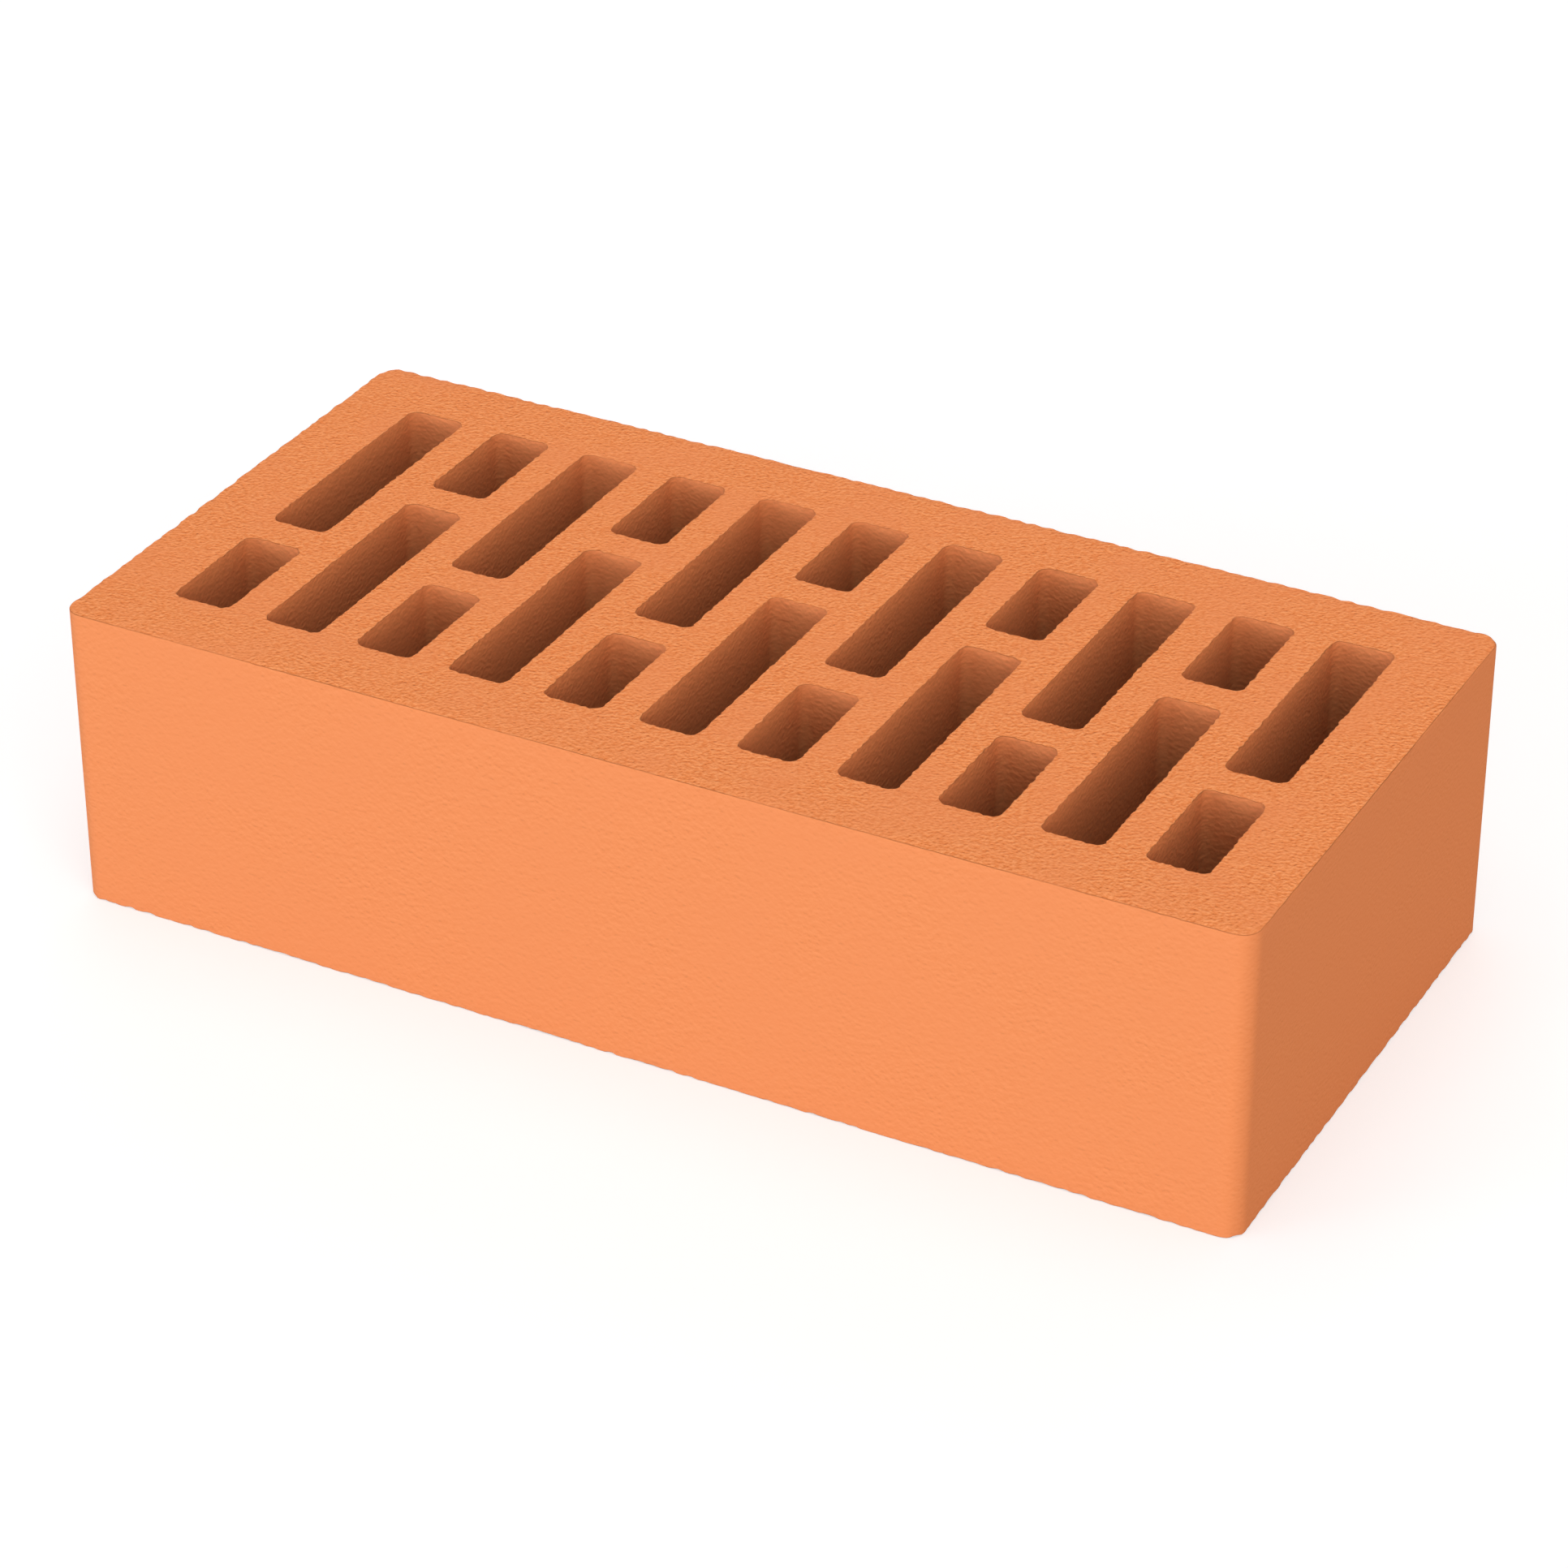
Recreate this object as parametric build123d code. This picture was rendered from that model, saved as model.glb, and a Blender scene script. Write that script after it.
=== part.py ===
from build123d import *
import os

# Perforated clay facing brick, single format, in millimetres.
# X runs along the length, Y from the front face to the back face, Z up.
# The origin is the middle of the lower bed, so the brick lies on Z = 0.

# Outside of the fired brick
brick_length = 250.0
brick_width = 120.0
brick_height = 65.0

# The die rounds the four upright edges
corner_radius = 4.0

# Firing and handling take the sharpness off the edges that the wire cut
arris_radius = 0.3

# Clay left between the outside and the slots
face_shell = 15.5
end_shell = 15.5

# Clay left between the two slots of one column
web_thickness = 8.0

# Slots, in columns side by side along the length, each with one short and one long slot
slot_columns = 11
slot_width = 12.5
short_slot_length = 27.0
slot_corner_radius = 2.0

# The columns are spread evenly between the end shells
column_pitch = (brick_length - 2 * end_shell - slot_width) / (slot_columns - 1)

# The long slot takes what the shells, the web and the short slot leave
long_slot_length = brick_width - 2 * face_shell - web_thickness - short_slot_length


def column_places():
    """The X of each column's middle, from the left end to the right end."""
    middle = (slot_columns - 1) / 2
    return [(column - middle) * column_pitch for column in range(slot_columns)]


def slot_places():
    """(X, Y, length) of every slot.

    The first column has its short slot in front and its long slot behind,
    and each next column has them the other way round, so the webs are staggered
    and no straight rib of clay carries heat through the wall.
    """
    front_end = face_shell - brick_width / 2
    back_end = brick_width / 2 - face_shell
    places = []
    for column, x in enumerate(column_places()):
        lengths = (short_slot_length, long_slot_length)
        front_length, back_length = lengths if column % 2 == 0 else reversed(lengths)
        places.append((x, front_end + front_length / 2, front_length))
        places.append((x, back_end - back_length / 2, back_length))
    return places


def die_section():
    """The section of the clay as it leaves the die: a rounded oblong with its slots."""
    with BuildSketch() as section:
        RectangleRounded(brick_length, brick_width, corner_radius)
        for x, y, length in slot_places():
            with Locations((x, y)):
                RectangleRounded(slot_width, length, slot_corner_radius, mode=Mode.SUBTRACT)
    return section.sketch


def outline_edges(shape, bed):
    """The edges of one bed that go round the outside of the brick."""
    return shape.faces().sort_by(Axis.Z)[bed].outer_wire().edges()


def clay_brick():
    """One cut length of the extruded clay, with its outside arrises eased."""
    lower_bed, upper_bed = 0, -1
    blank = extrude(die_section(), amount=brick_height)
    arrises = outline_edges(blank, lower_bed) + outline_edges(blank, upper_bed)
    return fillet(arrises, radius=arris_radius)


os.makedirs("parts", exist_ok=True)
export_step(clay_brick(), "parts/clay_brick.step")
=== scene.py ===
import math

import bmesh
import bpy
import numpy as np
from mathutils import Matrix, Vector


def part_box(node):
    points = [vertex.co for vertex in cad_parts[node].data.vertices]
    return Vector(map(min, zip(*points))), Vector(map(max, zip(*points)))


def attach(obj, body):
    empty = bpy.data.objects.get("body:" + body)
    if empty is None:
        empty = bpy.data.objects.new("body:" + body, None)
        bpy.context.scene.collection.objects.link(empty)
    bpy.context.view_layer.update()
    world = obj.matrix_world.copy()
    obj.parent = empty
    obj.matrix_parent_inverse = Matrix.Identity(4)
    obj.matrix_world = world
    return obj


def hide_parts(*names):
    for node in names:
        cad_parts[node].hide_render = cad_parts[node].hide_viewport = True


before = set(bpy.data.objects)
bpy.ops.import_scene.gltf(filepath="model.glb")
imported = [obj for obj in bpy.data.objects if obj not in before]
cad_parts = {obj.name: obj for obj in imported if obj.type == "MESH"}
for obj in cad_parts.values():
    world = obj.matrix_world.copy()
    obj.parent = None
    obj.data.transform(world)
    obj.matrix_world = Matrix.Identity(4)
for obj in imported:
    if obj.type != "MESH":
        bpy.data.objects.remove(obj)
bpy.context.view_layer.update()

cadLow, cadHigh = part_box("clay_brick")
mm = 0.001


# Shapes: one lofted skin round the outside and one through each slot, welded into a closed shell

brick = {
    "columns": 11,
    "shell": 15.5 * mm,          # clay between the outside and the slots
    "web": 8.0 * mm,             # clay between the two slots of a column
    "slotWidth": 12.5 * mm,
    "shortSlot": 27.0 * mm,
    "slotRadius": 2.0 * mm,
    "cornerRadius": 4.0 * mm,
    "arris": 0.15 * mm,          # radius of the outer edges round the beds, which wear opens to 0.3 mm
    "mouthEase": 0.15 * mm,      # radius of the slots' edges
    "along": 0.74 * mm,          # spacing of the points along an edge
    "across": 1.37 * mm,         # and away from it, over the bed
    "cornerSteps": 5,            # steps in half an outer corner
    "slotCornerSteps": 3,        # steps in half a slot corner
    "roundSteps": 2,             # steps across an arris
    "wallRows": 10,              # rows down the outer walls
    "slotRows": 6,               # rows down a slot's walls
    "swell": 0.008 * mm,         # how much the faces swell in and out
    "swellWaves": (5.0 * mm, 14.0 * mm),   # shortest and longest
    "edgeWear": 0.1 * mm,        # how much the outer edges are worn and chipped
    "mouthWear": 0.14 * mm,      # how much the slots' edges stray to either side
    "edgeWaves": (2.0 * mm, 5.5 * mm),
    "mouthWaves": (0.9 * mm, 2.5 * mm),
    "edgeFade": 0.08,            # share of that wear on the points beside an edge
    "wavesCutOff": 2,            # where waves are cut off, against their spread, which is 1
    "weld": 0.001 * mm,          # points nearer than this become one
}


def sideRun(halfAlong, halfAcross, radius, steps, arcSteps):
    # One side of a rounded oblong, walked along +X below the middle: half a corner arc, a straight run
    # and half an arc. Returns points and the directions that point away from the middle.
    turn = np.linspace(-math.pi / 4, 0, arcSteps, endpoint=False)
    straight = np.linspace(radius - halfAlong, halfAlong - radius, steps - 2 * arcSteps, endpoint=False)
    turns = np.concatenate([turn, np.zeros(len(straight)), turn + math.pi / 4])
    centres = np.concatenate([np.full(arcSteps, radius - halfAlong), straight,
                              np.full(arcSteps, halfAlong - radius)])
    away = np.stack([np.sin(turns), -np.cos(turns)], axis=-1)
    points = np.stack([centres, np.full(steps, radius - halfAcross)], axis=-1) + radius * away
    return points, away


def roundedLoop(halfX, halfY, radius, stepsX, stepsY, arcSteps):
    # The four sides, each turned a quarter from the one before, as one anticlockwise loop
    points, away = [], []
    for quarter in range(4):
        flat = quarter % 2 == 0
        along, across = (halfX, halfY) if flat else (halfY, halfX)
        side = sideRun(along, across, radius, stepsX if flat else stepsY, arcSteps)
        cosine, sine = [(1, 0), (0, 1), (-1, 0), (0, -1)][quarter]
        spin = np.array([[cosine, sine], [-sine, cosine]])
        points.append(side[0] @ spin)
        away.append(side[1] @ spin)
    return np.concatenate(points), np.concatenate(away)


def latticeLoop(xs, ys):
    # The border of a cell of the bed's lattice, walked the same way from its lower left corner
    low = np.stack([xs[:-1], np.full(len(xs) - 1, ys[0])], axis=-1)
    right = np.stack([np.full(len(ys) - 1, xs[-1]), ys[:-1]], axis=-1)
    high = np.stack([xs[:0:-1], np.full(len(xs) - 1, ys[-1])], axis=-1)
    left = np.stack([np.full(len(ys) - 1, xs[0]), ys[:0:-1]], axis=-1)
    return np.concatenate([low, right, high, left])


def skin(border, outline, away, ease, side, bedSteps, wallRows, height):
    # P(i, j): i walks round the loop and j goes down a profile. The profile runs over the upper bed from
    # the border to the outline, round an eased edge, down the wall, and back the same way on the lower bed.
    # side is 1 for the outer wall, whose bed lies inside its outline, and -1 for a slot.
    # Returns the points, the directions that point out of the clay, those in which an edge wears (slanting
    # on an outer edge and level at a slot, times its share), and how much of each point is wire-cut bed.
    turn = np.linspace(0, math.pi / 2, brick["roundSteps"] + 1)
    rows = np.arange(1, wallRows // 2 + 1) / (wallRows // 2)
    down = ease + (height / 2 - ease) * rows ** 3                  # crowded towards the edge
    flats, walls = np.zeros(bedSteps), np.zeros(len(down))
    share = np.concatenate([np.arange(bedSteps) / bedSteps, np.ones(len(turn) + len(down))])
    offset = -side * ease * np.concatenate([flats + 1, 1 - np.sin(turn), walls])
    drop = np.concatenate([flats, ease * (1 - np.cos(turn)), down])
    lean = np.concatenate([flats, turn, walls + math.pi / 2])      # from straight up to level
    wear = np.concatenate([flats, np.ones(len(turn)), walls])
    wear[bedSteps - 1] = wear[bedSteps + len(turn)] = brick["edgeFade"]

    # The lower half mirrors the upper one
    share, offset, wear = (np.concatenate([row, row[-2::-1]]) for row in (share, offset, wear))
    drop = np.concatenate([drop, height - drop[-2::-1]])
    lean = np.concatenate([lean, math.pi - lean[-2::-1]])

    rim = outline[:, None] + away[:, None] * offset[:, None]
    flat = border[:, None] * (1 - share[:, None]) + rim * share[:, None]
    level = np.broadcast_to(height - drop, flat.shape[:2])
    points = np.concatenate([flat, level[..., None]], axis=-1)
    up = np.broadcast_to(np.cos(lean), level.shape)
    outward = np.concatenate([side * away[:, None] * np.sin(lean)[:, None], up[..., None]], axis=-1)
    slant = np.broadcast_to((side > 0) * np.sign(height / 2 - drop)[:, None], flat.shape[:2] + (1,))
    chamfer = np.concatenate([np.broadcast_to(side * away[:, None], flat.shape), slant], axis=-1)
    return points, outward, chamfer * wear[:, None] / math.sqrt(2), np.abs(up)


def gridFaces(around, down, start):
    # Quads between each loop point and the next one round, and each profile point and the next one down
    i, j = np.meshgrid(np.arange(around), np.arange(down - 1), indexing="ij")
    k = (i + 1) % around
    quads = np.stack([i * down + j, i * down + j + 1, k * down + j + 1, k * down + j], axis=-1)
    return start + quads.reshape(-1, 4)


def waves(points, shortest, longest, seed, count=48):
    # The sum of plane waves with directions spread evenly over the sphere, wavelengths between the two
    # lengths and any phase, divided so that its spread is 1
    draw = np.random.default_rng(seed)
    direction = draw.normal(size=(3, count))
    direction /= np.linalg.norm(direction, axis=0)
    wavelength = np.exp(draw.uniform(math.log(shortest), math.log(longest), count))
    phase = draw.uniform(0, 2 * math.pi, count)
    total = np.cos(points @ (direction * 2 * math.pi / wavelength) + phase).sum(axis=1)
    return total * math.sqrt(2 / count)


def buildBrick():
    # All skins start on one lattice over the beds, so that they share the points along their borders
    length, width, height = cadHigh - cadLow
    pitch = (length - 2 * brick["shell"] - brick["slotWidth"]) / (brick["columns"] - 1)
    slotsY = width / 2 - brick["shell"]                   # the slots' outer ends
    longSlot = 2 * slotsY - brick["web"] - brick["shortSlot"]
    rim = (pitch - brick["slotWidth"]) / 2                # from a slot to its cell's border
    blockY = slotsY + rim
    webY = slotsY - brick["shortSlot"] - brick["web"] / 2   # the middle of a web

    # The bed's lattice: its lines pass between the columns and along the middles of the webs
    stepsX = round(pitch / brick["along"])
    outerSteps = round((blockY - webY) / brick["along"])
    middleSteps = round(2 * webY / brick["along"])
    xs = (np.arange(brick["columns"] * stepsX + 1) / stepsX - brick["columns"] / 2) * pitch
    ys = np.concatenate([np.linspace(-blockY, -webY, outerSteps, endpoint=False),
                         np.linspace(-webY, webY, middleSteps, endpoint=False),
                         np.linspace(webY, blockY, outerSteps + 1)])

    skins = []
    outline, away = roundedLoop(length / 2, width / 2, brick["cornerRadius"], len(xs) - 1, len(ys) - 1,
                                brick["cornerSteps"])
    bedSteps = round((length / 2 - xs[-1]) / brick["across"])
    skins.append(skin(latticeLoop(xs, ys), outline, away, brick["arris"], 1, bedSteps,
                      brick["wallRows"], height))
    for column in range(brick["columns"]):
        cellX = xs[column * stepsX:(column + 1) * stepsX + 1]
        middle = (column - (brick["columns"] - 1) / 2) * pitch
        split = outerSteps if column % 2 == 0 else outerSteps + middleSteps
        lengths = (brick["shortSlot"], longSlot) if column % 2 == 0 else (longSlot, brick["shortSlot"])
        for cellY, slot, place in ((ys[:split + 1], lengths[0], lengths[0] / 2 - slotsY),
                                   (ys[split:], lengths[1], slotsY - lengths[1] / 2)):
            outline, away = roundedLoop(brick["slotWidth"] / 2, slot / 2, brick["slotRadius"],
                                        len(cellX) - 1, len(cellY) - 1, brick["slotCornerSteps"])
            skins.append(skin(latticeLoop(cellX, cellY), outline + (middle, place), away,
                              brick["mouthEase"], -1, round(rim / brick["across"]),
                              brick["slotRows"], height))

    faces, start = [], 0
    for parts in skins:
        around, down = parts[0].shape[:2]
        faces.append(gridFaces(around, down, start))
        start += around * down
    faces = np.concatenate(faces)
    points, outward, worn, cut = (np.concatenate([parts[n].reshape(-1, size) for parts in skins])
                                  for n, size in enumerate((3, 3, 3, 1)))
    inSlot = np.arange(len(points)) >= skins[0][0][..., 0].size

    # Relief: the faces lie a little inside the true size, by a depth that waves change along the surface.
    # The outer edges only lose clay, and the slots' edges stray both ways.
    most = brick["wavesCutOff"]
    swell = np.clip(most + waves(points, *brick["swellWaves"], seed=3), 0, 2 * most) * brick["swell"]
    chipped = np.clip(1 + waves(points, *brick["edgeWaves"], seed=5), 0, 1 + most) * brick["edgeWear"]
    strayed = np.clip(waves(points, *brick["mouthWaves"], seed=8), -most, most) * brick["mouthWear"]
    worn *= np.where(inSlot, strayed, chipped)[:, None]
    points = points - outward * swell[:, None] - worn
    points[:, 2] += cadLow.z

    mesh = bpy.data.meshes.new("firedBrick")
    mesh.from_pydata(points.tolist(), [], faces.tolist())
    for name, values in (("inSlot", inSlot), ("wireCut", cut)):
        attribute = mesh.attributes.new(name, "FLOAT", "POINT")
        attribute.data.foreach_set("value", values.astype(np.float32).ravel())
    shell = bmesh.new()
    shell.from_mesh(mesh)
    bmesh.ops.remove_doubles(shell, verts=shell.verts, dist=brick["weld"])
    bmesh.ops.recalc_face_normals(shell, faces=shell.faces)
    odd = sum(not edge.is_manifold for edge in shell.edges)
    print("open or odd edges:", odd, "volume:", shell.calc_volume())
    shell.to_mesh(mesh)
    shell.free()
    mesh.shade_smooth()
    piece = bpy.data.objects.new("fired_brick", mesh)
    bpy.context.scene.collection.objects.link(piece)
    piece.modifiers.new("weigh normals", "WEIGHTED_NORMAL")      # keeps the big flat faces flat
    return piece


piece = buildBrick()
print("brick shell:", len(piece.data.vertices), "points,", 2 * len(piece.data.polygons), "triangles")


# Materials

def linear(hexCode):
    # An sRGB hex value as linear light, by the sRGB standard's own numbers
    parts = [int(hexCode[i:i + 2], 16) / 255 for i in (1, 3, 5)]
    return tuple(c / 12.92 if c <= 0.04045 else ((c + 0.055) / 1.055) ** 2.4 for c in parts) + (1.0,)


def addNode(tree, kind, inputs, **settings):
    # Adds a node. Each input is given a socket to be linked from, or a plain value.
    node = tree.nodes.new(kind)
    for name, value in settings.items():
        setattr(node, name, value)
    for name, value in inputs.items():
        if isinstance(value, bpy.types.NodeSocket):
            tree.links.new(value, node.inputs[name])
        else:
            node.inputs[name].default_value = value
    return node


clay = {
    "colour": "#EB8B56",         # fired with plenty of air, on the beds and the outer walls
    "paleGrainAndHighlight": "#F8A166",        # the grain's crests, paler, with painted highlight on the sides that face the front, or up on walls
    "darkGrainAndShade": "#E17533",           # its hollows, darker, with painted shade on the sides that face away
    "pitShadow": "#BC6638",            # painted shadow in the darkest few hollows, deep enough to hold some
    "mouthShadeColour": "#D9814E",    # painted shade just inside the slots, darker than the outside
    "deepShadeColour": "#C48253",     # and more painted shade deep inside them
    "mouthDepth": 0.3 * mm,      # the depths where those painted shades are reached
    "deepDepth": 14 * mm,
    "grain": 0.72 * mm,          # size of the grain that the wire drags up
    "grainDepth": 0.35 * mm,     # of which the noise uses about a quarter
    "octaves": 1.0,              # octaves of noise on top of the first, in the grain and its patches
    "grainLength": 1.1,          # how much longer it is along the wire
    "wireAngle": 28,             # degrees from the length to the wire
    "grainSide": (0.07 * mm, -0.27 * mm, 0),   # from a point to the one set against it, so the painted highlight faces the front
    "sideShare": 0.5,            # how much the height there counts against the height itself
    "wallLength": (1.4, 1.4, 1),   # how much longer the grain is on the walls, along X, Y and Z
    "wallSide": (0, 0, 0.33 * mm),   # from a point there up to the one set against it, so the painted highlight faces up
    "wallShare": 0.8,            # and how much that one counts
    "grainFall": 0.215,          # how large the difference is at the full tint, to either side of zero
    "pitShadowFall": (0.16, 0.28),     # and how far below zero the painted pit shadow begins and is full
    "patch": 18 * mm,            # patches where the grain is stronger or weaker
    "patchNoise": (0.35, 0.65),  # the span of the noise that takes them
    "patchRange": (0.65, 1.15),  # from the weakest to the strongest
    "cutGrain": 1.0,             # how much of the grain shows on the wire-cut beds,
    "dieGrain": 0.19,            # on the outer walls, which the die rubbed smooth,
    "slotGrain": 0.5,            # and on the slots' walls,
    "slotFlecks": 0.09,          # which it makes paler and darker by this share, with the same painted highlight and shade
    "roughness": 0.85,
    "specular": 0.15,
}


def wireCutClay(height):
    # Fired clay, extruded and cut by a wire: matt and slightly porous. The wire drags the beds up into a
    # fine grain, which shows as pale and dark specks: partly the grain's own colour and partly painted
    # highlight and shade on its sides, as if lit from the front. The die leaves the walls nearly smooth,
    # with a faint level streak, painted the same way as if lit from above. The slots' walls get painted
    # shade, darker with depth. Real grain is 0.1 to 0.5 mm, too fine to show, and is drawn as coarse as
    # it must be.
    material = bpy.data.materials.new("wireCutClay")
    material.use_nodes = True
    tree = material.node_tree
    shader = tree.nodes["Principled BSDF"]
    place = addNode(tree, "ShaderNodeTexCoord", {}).outputs["Object"]
    inSlot = addNode(tree, "ShaderNodeAttribute", {}, attribute_name="inSlot").outputs["Fac"]
    wireCut = addNode(tree, "ShaderNodeAttribute", {}, attribute_name="wireCut").outputs["Fac"]

    # Depth below the nearer bed, which is half the height less the distance from the middle
    level = addNode(tree, "ShaderNodeSeparateXYZ", {0: place}).outputs["Z"]
    offMiddle = addNode(tree, "ShaderNodeMath", {0: level, 1: height / 2}, operation="SUBTRACT").outputs[0]
    fromMiddle = addNode(tree, "ShaderNodeMath", {0: offMiddle}, operation="ABSOLUTE").outputs[0]
    # Masks for the painted shade down the slots
    inside = addNode(tree, "ShaderNodeMapRange", {"Value": fromMiddle, "From Min": height / 2,
                                                  "From Max": height / 2 - clay["mouthDepth"]}).outputs[0]
    inside = addNode(tree, "ShaderNodeMath", {0: inside, 1: inSlot}, operation="MULTIPLY").outputs[0]
    deep = addNode(tree, "ShaderNodeMapRange", {"Value": fromMiddle, "From Min": height / 2,
                                                "From Max": height / 2 - clay["deepDepth"]}).outputs[0]

    # The grain, and the same grain a step to the side, against which the painted highlight and shade are
    # set. On the beds it follows the wire. On the walls the die draws it out level, and the step goes up.
    onBed = addNode(tree, "ShaderNodeMapping", {"Vector": place, "Scale": (clay["grainLength"], 1, 1),
                                                "Rotation": (0, 0, math.radians(clay["wireAngle"]))},
                    vector_type="TEXTURE").outputs[0]
    onWall = addNode(tree, "ShaderNodeMapping", {"Vector": place, "Scale": clay["wallLength"]},
                     vector_type="TEXTURE").outputs[0]
    here = addNode(tree, "ShaderNodeMix", {0: wireCut, 4: onWall, 5: onBed}, data_type="VECTOR").outputs[1]
    step = addNode(tree, "ShaderNodeMix", {0: wireCut, 4: clay["wallSide"], 5: clay["grainSide"]},
                   data_type="VECTOR").outputs[1]
    aside = addNode(tree, "ShaderNodeVectorMath", {0: here, 1: step}, operation="ADD").outputs[0]
    noises = [addNode(tree, "ShaderNodeTexNoise", {"Vector": vector, "Scale": 1 / clay["grain"],
                                                  "Detail": clay["octaves"]}).outputs["Fac"]
              for vector in (here, aside)]
    grain, beside = (addNode(tree, "ShaderNodeMath", {0: noise, 1: 0.5}, operation="SUBTRACT").outputs[0]
                     for noise in noises)      # the noise's mean is a half, and both swing about zero

    # How much of the grain shows: by the kind of face, and by patches
    patch = addNode(tree, "ShaderNodeTexNoise", {"Vector": place, "Scale": 1 / clay["patch"],
                                                "Detail": clay["octaves"]}).outputs["Fac"]
    (low, high), (weakest, strongest) = clay["patchNoise"], clay["patchRange"]
    patch = addNode(tree, "ShaderNodeMapRange", {"Value": patch, "From Min": low, "From Max": high,
                                                "To Min": weakest, "To Max": strongest}).outputs[0]
    amount = addNode(tree, "ShaderNodeMapRange", {"Value": inSlot, "To Min": clay["dieGrain"],
                                                 "To Max": clay["slotGrain"]}).outputs[0]
    amount = addNode(tree, "ShaderNodeMapRange", {"Value": wireCut, "To Min": amount,
                                                 "To Max": clay["cutGrain"]}).outputs[0]
    amount = addNode(tree, "ShaderNodeMath", {0: amount, 1: patch}, operation="MULTIPLY").outputs[0]

    # The grain's tint goes by its height less a share of the height beside it, from dark to pale: partly
    # the grain's own colour, partly painted shade and highlight on its sides
    share = addNode(tree, "ShaderNodeMapRange", {"Value": wireCut, "To Min": -clay["wallShare"],
                                                 "To Max": -clay["sideShare"]}).outputs[0]
    rise = addNode(tree, "ShaderNodeMath", {0: beside, 1: share, 2: grain},
                   operation="MULTIPLY_ADD").outputs[0]
    # Painted shadow in the darkest hollows of the grain
    pitStart, pitFull = clay["pitShadowFall"]
    pitShadows = addNode(tree, "ShaderNodeMapRange", {"Value": rise, "From Min": -pitStart,
                                                "From Max": -pitFull}).outputs[0]
    tint = addNode(tree, "ShaderNodeMapRange", {"Value": rise, "From Min": -clay["grainFall"],
                                                "From Max": clay["grainFall"]}).outputs[0]
    flecks = addNode(tree, "ShaderNodeMapRange", {"Value": tint, "To Min": 1 - clay["slotFlecks"],
                                                  "To Max": 1 + clay["slotFlecks"]}).outputs[0]
    tint = addNode(tree, "ShaderNodeMix", {0: tint, 6: linear(clay["darkGrainAndShade"]), 7: linear(clay["paleGrainAndHighlight"])},
                   data_type="RGBA").outputs[2]
    tint = addNode(tree, "ShaderNodeMix", {0: pitShadows, 6: tint, 7: linear(clay["pitShadow"])},
                   data_type="RGBA").outputs[2]
    # The slots' painted shade, darker with depth, with the grain's flecks on it
    colour = addNode(tree, "ShaderNodeMix", {0: deep, 6: linear(clay["mouthShadeColour"]),
                                             7: linear(clay["deepShadeColour"])}, data_type="RGBA").outputs[2]
    colour = addNode(tree, "ShaderNodeVectorMath", {0: colour, "Scale": flecks},
                     operation="SCALE").outputs[0]
    colour = addNode(tree, "ShaderNodeMix", {0: inside, 6: linear(clay["colour"]), 7: colour},
                     data_type="RGBA").outputs[2]
    keep = addNode(tree, "ShaderNodeMath", {0: 1.0, 1: inside}, operation="SUBTRACT").outputs[0]
    fade = addNode(tree, "ShaderNodeMath", {0: amount, 1: keep}, operation="MULTIPLY").outputs[0]
    colour = addNode(tree, "ShaderNodeMix", {0: fade, 6: colour, 7: tint}, data_type="RGBA").outputs[2]
    tree.links.new(colour, shader.inputs["Base Color"])

    # The relief swings about zero, so that nothing steps where the amount changes
    relief = addNode(tree, "ShaderNodeMath", {0: grain, 1: amount}, operation="MULTIPLY").outputs[0]
    bump = addNode(tree, "ShaderNodeBump", {"Distance": clay["grainDepth"], "Height": relief})
    tree.links.new(bump.outputs["Normal"], shader.inputs["Normal"])
    shader.inputs["Roughness"].default_value = clay["roughness"]
    shader.inputs["Specular IOR Level"].default_value = clay["specular"]
    return material


piece.data.materials.append(wireCutClay(cadHigh.z - cadLow.z))
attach(piece, "root")
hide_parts("clay_brick")
print("clay:", len(piece.data.materials[0].node_tree.nodes), "nodes, grain of", clay["grain"] / mm, "mm")


# Stage, light and camera

stage = {
    "floorHalf": 6.0,               # metres from its middle to its edges
    "floorColour": "#AAAAAA",       # what the brick gets back from the floor
    "floorSeen": "#CCCCCC",         # what the camera sees of it,
    "floorLift": 0.47,              # with a glow of its own, which lights nothing and softens the shadow
    "skyStrength": 0.374,           # what the brick gets from all round,
    "backdropStrength": 1.0,        # and what the camera sees there
    # name: (azimuth from -Y towards +X, elevation, width, strength, colour), with the angles in degrees
    "suns": {
        "leftKey": (-45, 5, 30, 1.5, "#E3F1FF"),
        "frontKey": (-7, 5, 30, 1.3, "#E3F1FF"),
        "rightFill": (60, 5, 30, 0.77, "#FFFBEB"),
        "highFill": (40, 30, 50, 0.97, "#FFFDFA"),
        "overhead": (0, 88, 60, 0.83, "#FFFAF8"),
        "rim": (200, 15, 60, 0.8, "#FFFFFF"),
    },
}

mesh = bpy.data.meshes.new("floor")
corner = stage["floorHalf"]
mesh.from_pydata([(-corner, -corner, 0), (corner, -corner, 0), (corner, corner, 0), (-corner, corner, 0)],
                 [], [(0, 1, 2, 3)])
floor = bpy.data.objects.new("floor", mesh)
bpy.context.scene.collection.objects.link(floor)


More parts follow.
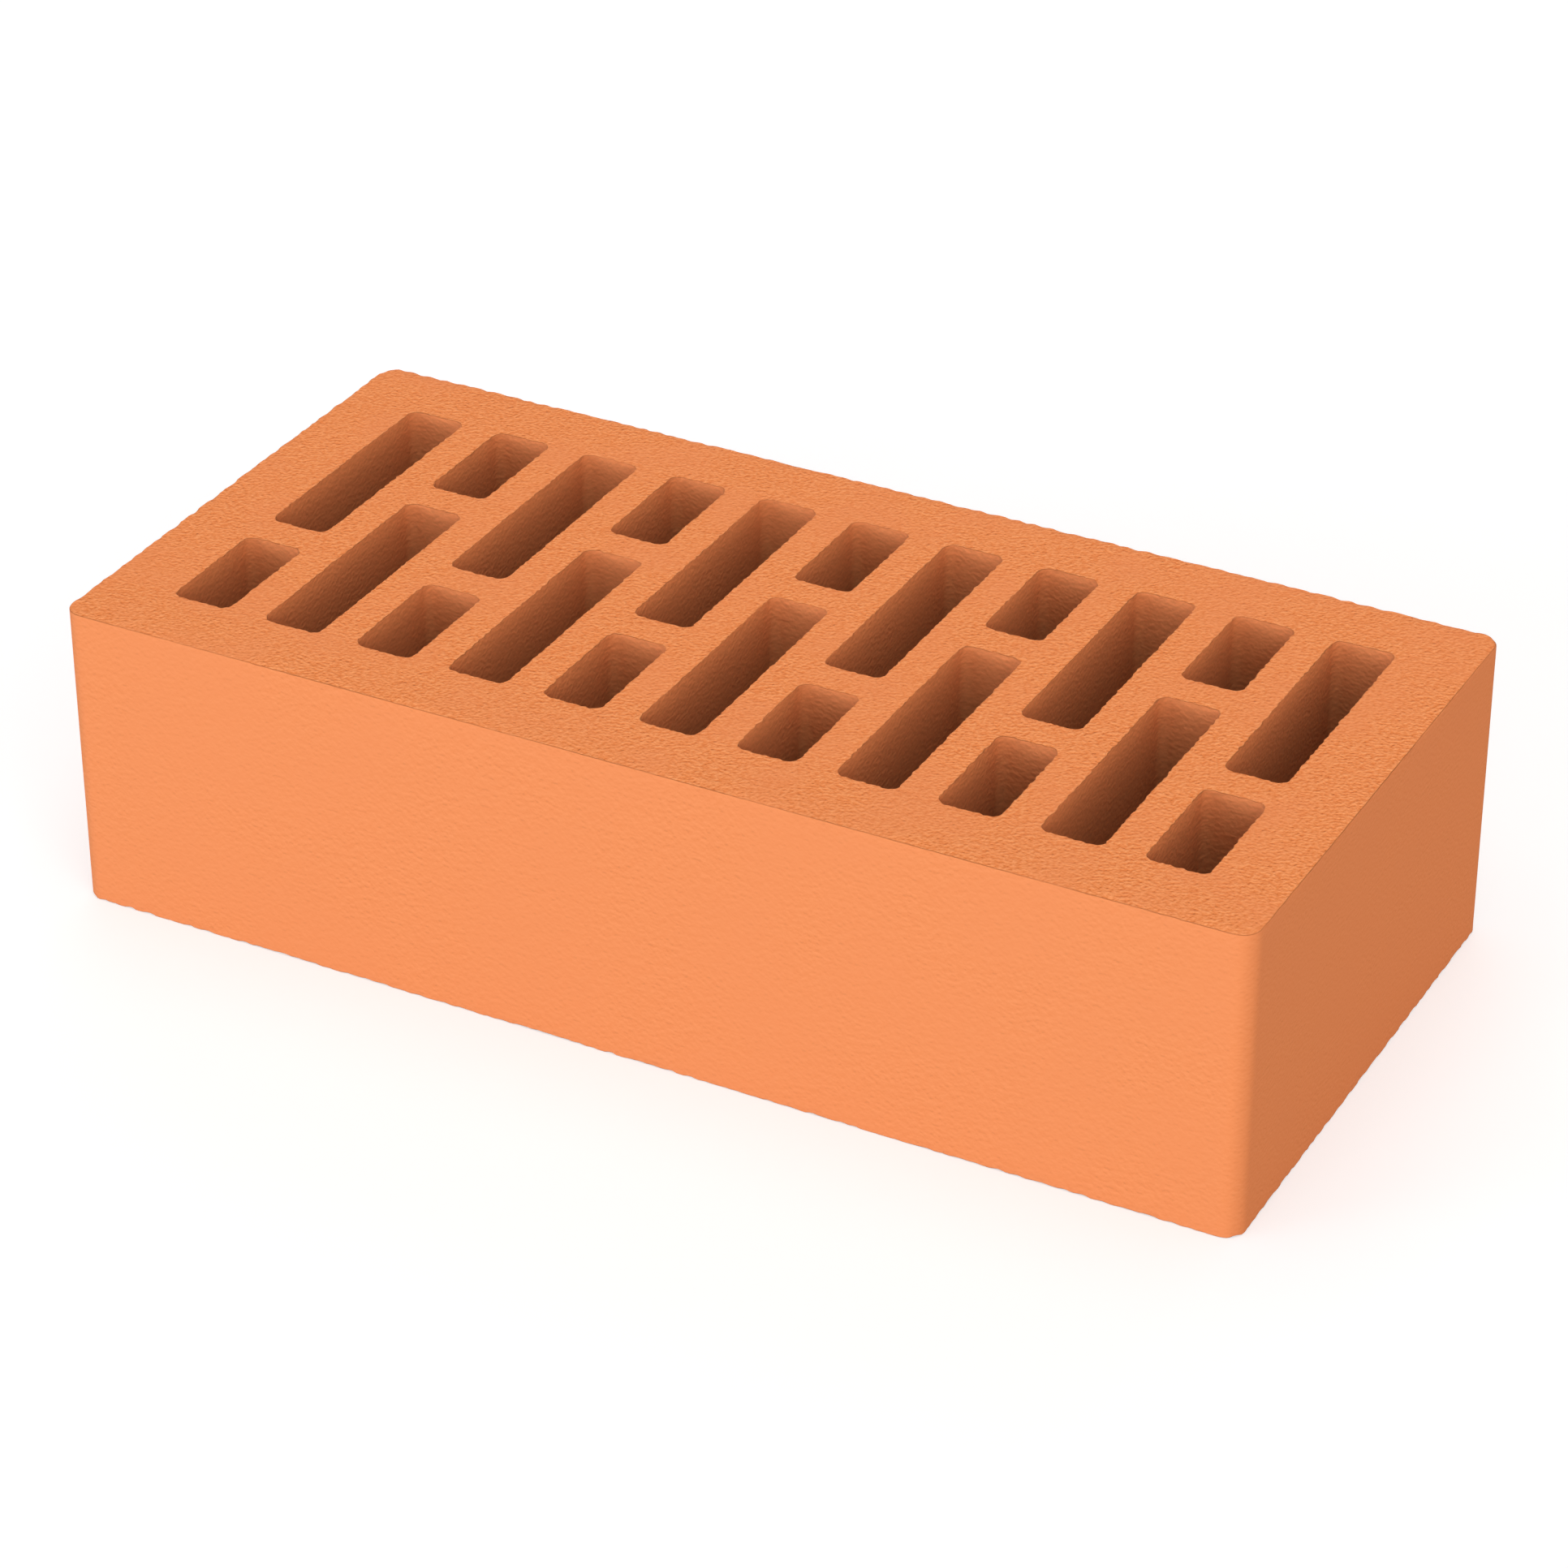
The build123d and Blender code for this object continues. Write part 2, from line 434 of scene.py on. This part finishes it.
def rolledPaint():
    # Matt pale paint, rolled on: no gloss at all. What the camera sees of it glows a little, but not where
    # it is seen down the slots.
    material = bpy.data.materials.new("rolledPaint")
    material.use_nodes = True
    tree = material.node_tree
    tree.nodes.remove(tree.nodes["Principled BSDF"])
    seenByCamera = addNode(tree, "ShaderNodeLightPath", {}).outputs["Is Camera Ray"]
    given = addNode(tree, "ShaderNodeBsdfDiffuse", {"Color": linear(stage["floorColour"])}).outputs[0]
    seen = addNode(tree, "ShaderNodeBsdfDiffuse", {"Color": linear(stage["floorSeen"])}).outputs[0]
    place = addNode(tree, "ShaderNodeTexCoord", {}).outputs["Object"]
    place = addNode(tree, "ShaderNodeVectorMath", {0: place}, operation="ABSOLUTE").outputs[0]
    fromMiddle = addNode(tree, "ShaderNodeSeparateXYZ", {0: place}).outputs
    inset = brick["shell"] / 2             # from the brick's outline to halfway to its slots
    under = [addNode(tree, "ShaderNodeMath", {0: fromMiddle[axis], 1: cadHigh[axis] - inset},
                     operation="LESS_THAN").outputs[0] for axis in (0, 1)]
    under = addNode(tree, "ShaderNodeMath", {0: under[0], 1: under[1]}, operation="MULTIPLY").outputs[0]
    lift = addNode(tree, "ShaderNodeMapRange", {"Value": under, "To Min": stage["floorLift"],
                                               "To Max": 0.0}).outputs[0]
    glow = addNode(tree, "ShaderNodeEmission", {"Strength": lift}).outputs[0]
    seen = addNode(tree, "ShaderNodeAddShader", {0: seen, 1: glow}).outputs[0]
    both = addNode(tree, "ShaderNodeMixShader", {0: seenByCamera, 1: given, 2: seen}).outputs[0]
    tree.links.new(both, tree.nodes["Material Output"].inputs["Surface"])
    return material


mesh.materials.append(rolledPaint())

world = bpy.data.worlds.new("softStudio")
bpy.context.scene.world = world
world.use_nodes = True
tree = world.node_tree
tree.nodes.remove(tree.nodes["Background"])
sky, backdrop = (addNode(tree, "ShaderNodeBackground", {"Color": linear("#FFFFFF"),
                                                        "Strength": stage[strength]}).outputs[0]
                 for strength in ("skyStrength", "backdropStrength"))
seenByCamera = addNode(tree, "ShaderNodeLightPath", {}).outputs["Is Camera Ray"]
both = addNode(tree, "ShaderNodeMixShader", {0: seenByCamera, 1: sky, 2: backdrop}).outputs[0]
tree.links.new(both, tree.nodes["World Output"].inputs["Surface"])

for name, (azimuth, elevation, width, strength, colour) in stage["suns"].items():
    azimuth, elevation = math.radians(azimuth), math.radians(elevation)
    towards = Vector((math.sin(azimuth) * math.cos(elevation), -math.cos(azimuth) * math.cos(elevation),
                      math.sin(elevation)))
    lamp = bpy.data.lights.new(name, "SUN")
    lamp.energy = strength
    lamp.color = linear(colour)[:3]
    lamp.angle = math.radians(width)
    lampObject = bpy.data.objects.new(name, lamp)
    bpy.context.scene.collection.objects.link(lampObject)
    lampObject.rotation_euler = (-towards).to_track_quat("-Z", "Y").to_euler()

print("stage: a floor, a sky and", len(stage["suns"]), "suns")

camera = {
    "azimuth": 27.86,         # degrees from -Y towards +X
    "elevation": 31.13,
    "distance": 981.5 * mm,
    "aim": (1.18 * mm, 0, 29.5 * mm),
    "focalLength": 115.13,    # in mm, like the sensor's width
    "sensorWidth": 36,
}
azimuth, elevation = math.radians(camera["azimuth"]), math.radians(camera["elevation"])
back = Vector((math.sin(azimuth) * math.cos(elevation), -math.cos(azimuth) * math.cos(elevation),
               math.sin(elevation)))
lens = bpy.data.cameras.new("camera")
lens.lens = camera["focalLength"]
lens.sensor_width = camera["sensorWidth"]
cameraObject = bpy.data.objects.new("camera", lens)
bpy.context.scene.collection.objects.link(cameraObject)
cameraObject.location = Vector(camera["aim"]) + back * camera["distance"]
cameraObject.rotation_euler = (-back).to_track_quat("-Z", "Y").to_euler()
bpy.context.scene.camera = cameraObject
print("camera:", camera["focalLength"], "mm lens,", camera["distance"] / mm, "mm away")

bpy.context.scene.view_settings.view_transform = "Standard"
